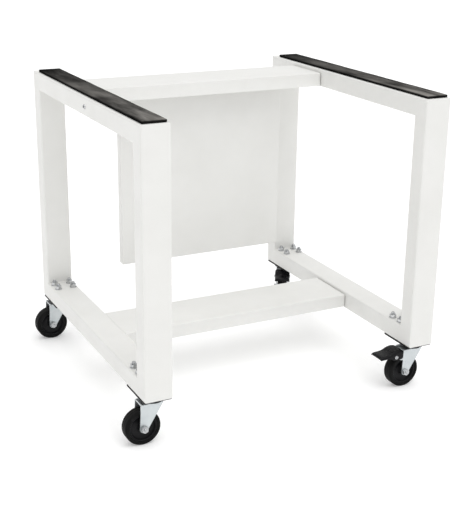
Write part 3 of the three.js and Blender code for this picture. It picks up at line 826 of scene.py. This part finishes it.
def bent_sheet(top, bottom, length):
    """An upside-down U, seen along the trail, from its leading to its trailing end."""
    out = FORK_INSIDE + FORK_SHEET
    outer = ([(out, bottom)] + arc((out - FORK_BEND, top - FORK_BEND), FORK_BEND, 0, 90, 6)
             + arc((FORK_BEND - out, top - FORK_BEND), FORK_BEND, 90, 180, 6) + [(-out, bottom)])
    bend = FORK_BEND - FORK_SHEET
    inner = ([(-FORK_INSIDE, bottom)]
             + arc((bend - FORK_INSIDE, top - CROWN_SHEET - bend), bend, 180, 90, 4)
             + arc((FORK_INSIDE - bend, top - CROWN_SHEET - bend), bend, 90, 0, 4)
             + [(FORK_INSIDE, bottom)])
    section = outer + inner
    rings = [[(x, y, z) for y, z in section] for x in length]
    return to_object(skin(rings, caps=True), "bent_sheet")


def fork(corner):
    node = f"{corner}_fork"
    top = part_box(node)[1].z
    length = (LEG_LEADING - TRIM, LEG_TRAILING + LUG_ROOM)
    sheet = bent_sheet(top, WHEEL_RADIUS - 2 * LEG_TIP, length)
    reach = FORK_INSIDE + 2 * FORK_SHEET
    blank = prism(leg_outline(top + TRIM), -reach, reach, "blank")
    if corner in BRAKED:
        pin = joint_place(f"{corner}_brake_press") - joint_place(f"{corner}_swivel_turn")
        pin_place = (pin.xy.length, joint_place(f"{corner}_brake_press").z)
        blank = combine(blank, prism(lug_outline(pin_place), -reach, reach, "lug"), "UNION")
    piece = combine(sheet, blank, "INTERSECT")
    disc_profile = [(CROWN_BORE, top - CROWN_SHEET), (CROWN_RADIUS, top - CROWN_SHEET),
                    (CROWN_RADIUS, top - CROWN_EDGE), (CROWN_RADIUS - CROWN_EDGE, top), (CROWN_BORE, top)]
    disc = lathe(disc_profile, TURNED_SIDES, "crown_disc")
    disc.data.transform(Matrix.Rotation(math.pi / 2, 4, "X"))
    piece = combine(piece, disc, "UNION")
    pressed = press_leg_faces(piece)
    piece.name = f"{corner}_pressed_fork"
    bevel(piece, PRESS_ROUND, segments=2, angle=50)
    apply_modifiers(piece)
    place(piece, castor_matrix(corner))
    finish_piece(piece, "zinc", f"{corner}_swivel", [node], angle=38)
    print(piece.name, pressed, "legs pressed", len(piece.data.polygons), "faces")
    return piece


forks = [fork(corner) for corner in CORNERS]

# %% [markdown]
# ### Axle bolt
# The axle is a bolt through both legs, with a six-sided head on one side and a nut on the other.
# The head and the nut are hexagons with round chamfers, and the shank is turned, with a few
# threads beyond the nut.

# %% Axle bolts
HEX_FLATS = 13.0 * MM
BOLT_RADIUS = 4.0 * MM
THREAD_PITCH = 1.25 * MM
THREAD_DEPTH = 0.55 * MM
THREAD_TIP = 1.2 * MM
THREAD_SHOWING = 2.0 * MM
HEAD_HIGH = 5.3 * MM
HEAD_BORE = 0.1 * MM
NUT_HIGH = 6.5 * MM
NUT_BORE = BOLT_RADIUS - 0.6 * MM
AXLE_GAP = 0.2 * MM


def threaded_end(start, end):
    """A profile of thread ridges from one place along a bolt to another."""
    points = []
    along = start
    while along + THREAD_PITCH <= end:
        points.append((BOLT_RADIUS - THREAD_DEPTH, along))
        points.append((BOLT_RADIUS, along + THREAD_PITCH / 2))
        along += THREAD_PITCH
    return points + [(BOLT_RADIUS - THREAD_DEPTH, along), (BOLT_RADIUS - THREAD_TIP, end), (0, end)]


def axle_bolt(corner):
    node = f"{corner}_axle_bolt"
    seat = FORK_INSIDE + FORK_SHEET + AXLE_GAP
    head = hexagon(HEX_FLATS, HEAD_BORE, -seat - HEAD_HIGH, -seat, "head")
    back = hexagon(HEX_FLATS, NUT_BORE, seat, seat + NUT_HIGH, "nut")
    thread = threaded_end(seat - 1 * MM, seat + NUT_HIGH + THREAD_SHOWING)
    shank = lathe([(0, -seat), (BOLT_RADIUS, -seat)] + thread, 32, "shank", closed=False)
    piece = join_objects([head, back, shank], f"{corner}_axle_hardware")
    place(piece, castor_matrix(corner) @ Matrix.Translation((TRAIL, 0, WHEEL_RADIUS)))
    return finish_piece(piece, "fasteners", f"{corner}_swivel", [node], angle=25)


axles = [axle_bolt(corner) for corner in CORNERS]
print("axle bolts", len(axles))

# %% [markdown]
# ### Brake lever
# The lever is a moulded cover over the wheel: it is highest in front of its pin, slopes down to
# the back and ends in a pedal for the foot. Its cheeks hang down on both sides to the pin. Blocks
# would never give that shape. A sheet lofted from arched cuts does: each cut has its own height,
# its own width and its own skirt, and thickness and one subdivision make it plastic.

# %% Mould the brake levers
LEVER_INSIDE = 17.0 * MM
LEVER_OUTSIDE = 19.5 * MM
LEVER_WALL = 2.1 * MM
LEVER_ROUND = 5.5 * MM
LEVER_ROUND_SHARE = 0.8
LEVER_CROWN = 0.4 * MM
RIVET_RADIUS = 4.3 * MM
RIVET_SHANK = 2.9 * MM
LEVER_CUTS = (
    # along from the pin, top above the pin, half width, skirt below the top (mm)
    (-19.0, 11.4, 18.4, 16.0),
    (-17.5, 13.2, 19.3, 20.0),
    (-10.0, 15.0, 19.5, 23.0),
    (-3.0, 15.2, 19.5, 23.6),
    (4.0, 13.6, 19.5, 21.8),
    (9.0, 11.4, 19.5, 17.0),
    (13.0, 9.4, 19.5, 12.0),
    (18.0, 7.6, 19.5, 8.4),
    (26.0, 6.8, 19.5, 7.8),
    (34.0, 6.4, 19.5, 7.4),
    (38.6, 5.6, 19.5, 6.6),
    (40.6, 3.6, 19.4, 4.6),
    (41.0, -0.4, 19.2, 0.6),
)


def lever_cut(cut, pin):
    along, top, half, skirt = (value * MM for value in cut)
    round_part = min(skirt * LEVER_ROUND_SHARE, LEVER_ROUND)
    x, z = pin[0] + along, pin[1] + top
    right = arc((half - round_part, z - round_part), round_part, 0, 90, 5)
    left = arc((round_part - half, z - round_part), round_part, 90, 180, 5)
    cut_points = [(half, z - skirt)] + right + [(0, z + LEVER_CROWN)] + left + [(-half, z - skirt)]
    return [(x, y, height) for y, height in cut_points]


def brake_lever(corner):
    node = f"{corner}_brake_lever"
    press = joint_place(f"{corner}_brake_press")
    swivel = joint_place(f"{corner}_swivel_turn")
    pin = ((press - swivel).xy.length, press.z)
    arches = skin([lever_cut(cut, pin) for cut in LEVER_CUTS], loop_points=False)
    cover = to_object(arches, f"{corner}_lever_moulding")
    wall = cover.modifiers.new("wall", "SOLIDIFY")
    wall.thickness = LEVER_WALL
    wall.offset = -1
    wall.use_even_offset = True
    rounder = cover.modifiers.new("soft", "SUBSURF")
    rounder.levels = 2
    rounder.render_levels = 2
    apply_modifiers(cover)
    place(cover, castor_matrix(corner))
    finish_piece(cover, "lever_black", f"{corner}_brake", [node], angle=60)
    rivets = []
    for way in (-1, 1):
        face = LEVER_OUTSIDE + 0.3 * MM
        inside = FORK_INSIDE - 0.4 * MM
        profile = [(0, face + 1.5 * MM), (2.4 * MM, face + 1.3 * MM), (3.8 * MM, face + 0.7 * MM),
                   (RIVET_RADIUS, face), (RIVET_SHANK, face - 0.2 * MM), (RIVET_SHANK, inside),
                   (0, inside)]
        rivet = lathe(profile, 40, "rivet", closed=False)
        rivet.data.transform(Matrix.Translation((pin[0], 0, pin[1])) @ Matrix.Scale(way, 4, (0, 1, 0)))
        if way < 0:
            rivet.data.flip_normals()
        rivets.append(rivet)
    pins = place(join_objects(rivets, f"{corner}_lever_rivets"), castor_matrix(corner))
    finish_piece(pins, "fasteners", f"{corner}_swivel", angle=30)
    print(cover.name, len(cover.data.polygons), "faces")
    return cover, pins


levers = [brake_lever(corner) for corner in BRAKED]

# %% [markdown]
# ## Fasteners
# Sixteen castor bolts and eight beam bolts are the same few shapes again and again, which is what
# Geometry Nodes are for. One bolt is made with care, and a tree puts a copy on each point of a
# small mesh, turned about its own axis by a fixed random amount, because nobody lines up the flats
# of a nut. The points are the middles of the CAD bolts.

# %% The tree that sets bolts
def make_bolt_tree():
    tree = bpy.data.node_groups.new("set_bolts", "GeometryNodeTree")
    tree.interface.new_socket("Points", in_out="INPUT", socket_type="NodeSocketGeometry")
    tree.interface.new_socket("Bolt", in_out="INPUT", socket_type="NodeSocketObject")
    seed = tree.interface.new_socket("Seed", in_out="INPUT", socket_type="NodeSocketInt")
    seed.default_value = 3
    most = tree.interface.new_socket("Most Turn", in_out="INPUT", socket_type="NodeSocketFloat")
    most.default_value = math.pi
    tree.interface.new_socket("Finish", in_out="INPUT", socket_type="NodeSocketMaterial")
    tree.interface.new_socket("Bolts", in_out="OUTPUT", socket_type="NodeSocketGeometry")
    entry = tree.nodes.new("NodeGroupInput")
    leave = tree.nodes.new("NodeGroupOutput")
    bolt = add_node(tree, "GeometryNodeObjectInfo", {"Object": entry.outputs["Bolt"]})
    heading = add_node(
        tree, "GeometryNodeInputNamedAttribute", {"Name": "heading"}, data_type="FLOAT_VECTOR")
    aim = add_node(tree, "FunctionNodeAlignRotationToVector", {
        "Vector": heading.outputs["Attribute"]}, axis="Z")
    spin = add_node(tree, "FunctionNodeRandomValue", {
        2: 0.0, 3: entry.outputs["Most Turn"], "Seed": entry.outputs["Seed"]}, data_type="FLOAT")
    axis_turn = add_node(tree, "FunctionNodeAxisAngleToRotation", {
        "Axis": (0.0, 0.0, 1.0), "Angle": spin.outputs[1]})
    both = add_node(tree, "FunctionNodeRotateRotation", {
        "Rotation": aim.outputs["Rotation"], "Rotate By": axis_turn.outputs["Rotation"]},
        rotation_space="LOCAL")
    copies = add_node(tree, "GeometryNodeInstanceOnPoints", {
        "Points": entry.outputs["Points"], "Instance": bolt.outputs["Geometry"],
        "Rotation": both.outputs["Rotation"]})
    real = add_node(tree, "GeometryNodeRealizeInstances", {"Geometry": copies.outputs["Instances"]})
    coated = add_node(tree, "GeometryNodeSetMaterial", {
        "Geometry": real.outputs["Geometry"], "Material": entry.outputs["Finish"]})
    tree.links.new(coated.outputs["Geometry"], leave.inputs["Bolts"])
    return tree


BOLT_TREE = make_bolt_tree()


def set_bolts(name, bolt, places, replaced, seed):
    """places is a list of (point, heading); the result is one plain mesh on the root body."""
    data = bpy.data.meshes.new(name)
    data.from_pydata([tuple(point) for point, _ in places], [], [])
    attribute = data.attributes.new("heading", "FLOAT_VECTOR", "POINT")
    for i, (_, heading) in enumerate(places):
        attribute.data[i].vector = heading
    piece = bpy.data.objects.new(name, data)
    bpy.context.scene.collection.objects.link(piece)
    modifier = piece.modifiers.new("set bolts", "NODES")
    modifier.node_group = BOLT_TREE
    values = {"Bolt": bolt, "Seed": seed, "Finish": FINISHES["fasteners"]}
    for item in BOLT_TREE.interface.items_tree:
        if item.in_out == "INPUT" and item.name in values:
            modifier[item.identifier] = values[item.name]
    apply_modifiers(piece)
    bpy.data.objects.remove(bolt)
    finish_piece(piece, "fasteners", "root", replaced, angle=25)
    print(name, len(places), "bolts", len(piece.data.polygons), "faces")
    return piece


# %% [markdown]
# ### Castor bolts
# A button head bolt comes up through the plate and the rail. On the rail's top it shows a washer,
# a nut and a few turns of thread, so those get the detail. The bolt is made along Z about the
# middle of the CAD bolt, which is where the tree puts it.

# %% Castor bolts
BUTTON_RADIUS = 7.0 * MM
WASHER_RADIUS = 8.0 * MM
WASHER_BORE = 4.3 * MM
SEAT_GAP = 0.1 * MM
NUT_FROM_RAIL = 1.8 * MM


def along_z(piece):
    piece.data.transform(Matrix.Rotation(math.pi / 2, 4, "X"))
    return piece


def castor_bolt():
    low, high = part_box("front_left_castor_bolt_1")
    length = high.z - low.z
    rail_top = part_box("left_bottom_rail")[1].z
    washer_low = rail_top + SEAT_GAP
    nut_low = rail_top + NUT_FROM_RAIL
    plate_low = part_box("front_left_castor_plate")[1].z - PLATE_SHEET
    head_high = plate_low - SEAT_GAP
    button = [(0, low.z), (3.6 * MM, low.z), (5.4 * MM, low.z + 0.8 * MM), (6.6 * MM, low.z + 2.2 * MM),
              (BUTTON_RADIUS, head_high), (BOLT_RADIUS, head_high), (BOLT_RADIUS, nut_low)]
    shank = lathe(button + threaded_end(nut_low, high.z), 24, "shank", closed=False)
    washer_high = nut_low - SEAT_GAP
    washer = lathe([(WASHER_BORE, washer_low), (WASHER_RADIUS, washer_low),
                    (WASHER_RADIUS, washer_high - 0.3 * MM), (WASHER_RADIUS - 0.3 * MM, washer_high),
                    (WASHER_BORE, washer_high)], 40, "washer")
    nut = hexagon(HEX_FLATS, NUT_BORE, nut_low, nut_low + NUT_HIGH, "nut")
    bolt = along_z(join_objects([shank, washer, nut], "castor_bolt"))
    bolt.data.transform(Matrix.Translation((0, 0, -low.z - length / 2)))
    return bolt


def node_middle(node):
    low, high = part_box(node)
    return (low + high) / 2


castor_nodes = [f"{corner}_castor_bolt_{i}" for corner in CORNERS for i in range(1, 5)]
castor_places = [(node_middle(node), (0.0, 0.0, 1.0)) for node in castor_nodes]
castor_bolts = set_bolts("castor_bolts", castor_bolt(), castor_places, castor_nodes, seed=3)

# %% [markdown]
# ### Beam bolts
# These sit inside the open underside of each beam and screw outwards into the rails. Only their
# heads can be seen, from below, so the same tree sets a plain hexagon bolt along each heading.

# %% Beam bolts
BEAM_NUT_LOW = 9.9 * MM


def beam_bolt():
    low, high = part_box("upper_beam_bolt_right_front")
    length = high.x - low.x
    head = hexagon(HEX_FLATS, HEAD_BORE, 0, HEAD_HIGH, "head")
    plain = [(0, 5 * MM), (BOLT_RADIUS, 5 * MM), (BOLT_RADIUS, BEAM_NUT_LOW - 0.3 * MM)]
    thread = threaded_end(BEAM_NUT_LOW - 0.1 * MM, length)
    shank = lathe(plain + thread, 24, "shank", closed=False)
    nut = hexagon(HEX_FLATS, NUT_BORE, BEAM_NUT_LOW, BEAM_NUT_LOW + NUT_HIGH, "nut")
    bolt = along_z(join_objects([head, shank, nut], "beam_bolt"))
    bolt.data.transform(Matrix.Translation((0, 0, -length / 2)))
    return bolt


beam_nodes = [f"{beam}_bolt_{side}_{end}" for beam in ("upper_beam", "lower_beam")
              for side in ("left", "right") for end in ("front", "rear")]
beam_ways = [1.0 if "_right_" in node else -1.0 for node in beam_nodes]
beam_places = [(node_middle(node), (way, 0.0, 0.0)) for node, way in zip(beam_nodes, beam_ways)]
beam_bolts = set_bolts("beam_bolts", beam_bolt(), beam_places, beam_nodes, seed=8)

# %% [markdown]
# ### Side screw
# One small button head screw sits in the outer face of the left top rail. Its six-sided socket is
# what makes it read as a dark dot, so the socket is really sunk into the head.

# %% Side screw
SOCKET_FLATS = 5.2 * MM
SOCKET_DEEP = 2.4 * MM
SCREW_RADIUS = 3.0 * MM
SCREW_HEAD_RADIUS = 5.0 * MM
SCREW_SIDES = 48


def side_screw():
    node = "left_rail_side_screw"
    low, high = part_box(node)
    middle = (low + high) / 2
    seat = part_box("left_top_rail")[0].x
    head = seat - low.x
    length = high.x - low.x
    rings = []
    for i in range(SCREW_SIDES):
        a = 2 * math.pi * i / SCREW_SIDES
        hole = hexagon_reach(SOCKET_FLATS, a)
        profile = [(0, SOCKET_DEEP), (hole, SOCKET_DEEP), (hole, 0), (3.4 * MM, 0.05 * MM),
                   (4.4 * MM, 0.8 * MM), (SCREW_HEAD_RADIUS, head), (SCREW_RADIUS, head),
                   (SCREW_RADIUS, length), (0, length)]
        rings.append([(along, r * math.cos(a), r * math.sin(a)) for r, along in profile])
    piece = to_object(skin(rings, loop_rings=True, loop_points=False), "side_screw")
    place(piece, Matrix.Translation((low.x, middle.y, middle.z)))
    finish_piece(piece, "fasteners", "root", [node], angle=30)
    print(piece.name, "at", [round(v, 4) for v in middle])
    return piece


screw = side_screw()

# %% [markdown]
# ## Floor and light
# The picture is taken on white paper in soft light from all round, so the stand throws only faint
# shadows where the wheels touch. The sky is brightest overhead and greyer towards the horizon, so
# that tops are lighter than sides, and metal has something to reflect. One wide sun from the front
# and the right leaves the left sides a little darker. The paper glows slightly, as paper does that
# is lit by itself in a studio, which keeps the shadows pale.

# %% Floor and light
PAPER_GLOW = 0.22
SKY_BRIGHTNESS = 0.92
SUN_BRIGHTNESS = 0.95
SUN_WIDTH = math.radians(60)
SUN_TILT = (math.radians(17), math.radians(10), 0)
FLOOR_SIZE = 80
FLOOR_TONES = (0.86, 0.88)
FLOOR_PATCHES = 3.0
HORIZON_GREY = 0.62
SKY_WHITE_FROM = 0.45


def make_floor():
    bpy.ops.mesh.primitive_plane_add(size=FLOOR_SIZE)
    floor = bpy.context.object
    floor.name = "floor"
    material = bpy.data.materials.new("white_paper")
    material.use_nodes = True
    tree = material.node_tree
    shader = tree.nodes["Principled BSDF"]
    patches = add_node(tree, "ShaderNodeTexNoise", {"Scale": FLOOR_PATCHES}).outputs["Fac"]
    darker, lighter = FLOOR_TONES
    tone = mix_colour(tree, patches, (darker,) * 3, (lighter,) * 3)
    tree.links.new(tone, shader.inputs["Base Color"])
    shader.inputs["Roughness"].default_value = 0.9
    shader.inputs["Specular IOR Level"].default_value = 0.0
    shader.inputs["Emission Color"].default_value = (1, 1, 1, 1)
    shader.inputs["Emission Strength"].default_value = PAPER_GLOW
    floor.data.materials.append(material)
    return floor


def make_light():
    world = bpy.data.worlds.new("white_room")
    bpy.context.scene.world = world
    world.use_nodes = True
    tree = world.node_tree
    background = tree.nodes["Background"]
    direction = add_node(tree, "ShaderNodeTexCoord").outputs["Generated"]
    height = add_node(tree, "ShaderNodeSeparateXYZ", {"Vector": direction}).outputs["Z"]
    sky = add_node(tree, "ShaderNodeValToRGB", {"Fac": height})
    stops = sky.color_ramp.elements
    stops[0].position = 0.0
    stops[0].color = (HORIZON_GREY, HORIZON_GREY, HORIZON_GREY, 1)
    stops[1].position = SKY_WHITE_FROM
    stops[1].color = (1, 1, 1, 1)
    tree.links.new(sky.outputs["Color"], background.inputs["Color"])
    background.inputs["Strength"].default_value = SKY_BRIGHTNESS
    key_data = bpy.data.lights.new("soft_key", "SUN")
    key_data.energy = SUN_BRIGHTNESS
    key_data.angle = SUN_WIDTH
    key = bpy.data.objects.new("soft_key", key_data)
    key.rotation_euler = SUN_TILT
    bpy.context.scene.collection.objects.link(key)


make_floor()
make_light()
bpy.context.scene.view_settings.view_transform = "Standard"
print("stage ready")
